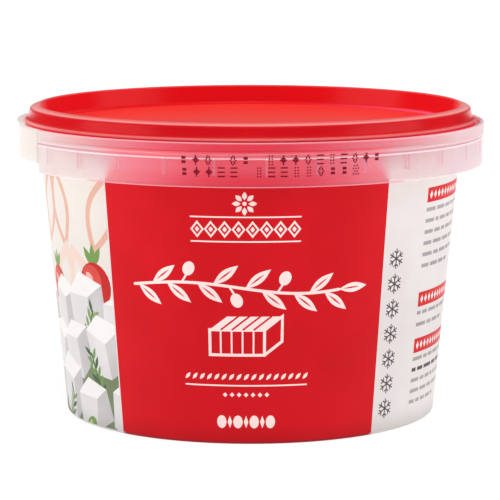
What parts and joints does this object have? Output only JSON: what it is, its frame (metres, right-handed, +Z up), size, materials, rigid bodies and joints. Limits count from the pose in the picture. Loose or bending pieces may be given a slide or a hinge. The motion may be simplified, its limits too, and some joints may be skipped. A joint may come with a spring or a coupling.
{
  "type": "shut tub of feta cheese",
  "caption": "Shut round plastic tub of feta in brine: tapered wall with a printed label, translucent skirted collar round the rim, and a press-on lid with a sunk top.",
  "frame": {"origin": "centre of the tub's base, on the plane that it stands on", "axes": "+Z up along the tub's own axis, through the lid; the printed front faces -Y, and +X is on the right of a viewer who looks at the front"},
  "size_m": [0.0999, 0.1, 0.066],
  "materials": {
    "tub": "milky translucent moulded polypropylene, smooth with a soft sheen",
    "label": "printed film moulded into the wall: red front panel, pale side panels, satin",
    "lid": "red moulded polypropylene, satin, slightly translucent at its edges"
  },
  "bodies": {
    "root": {"tub": "tub", "label": "label", "lid": "lid"}
  },
  "joints": []
}
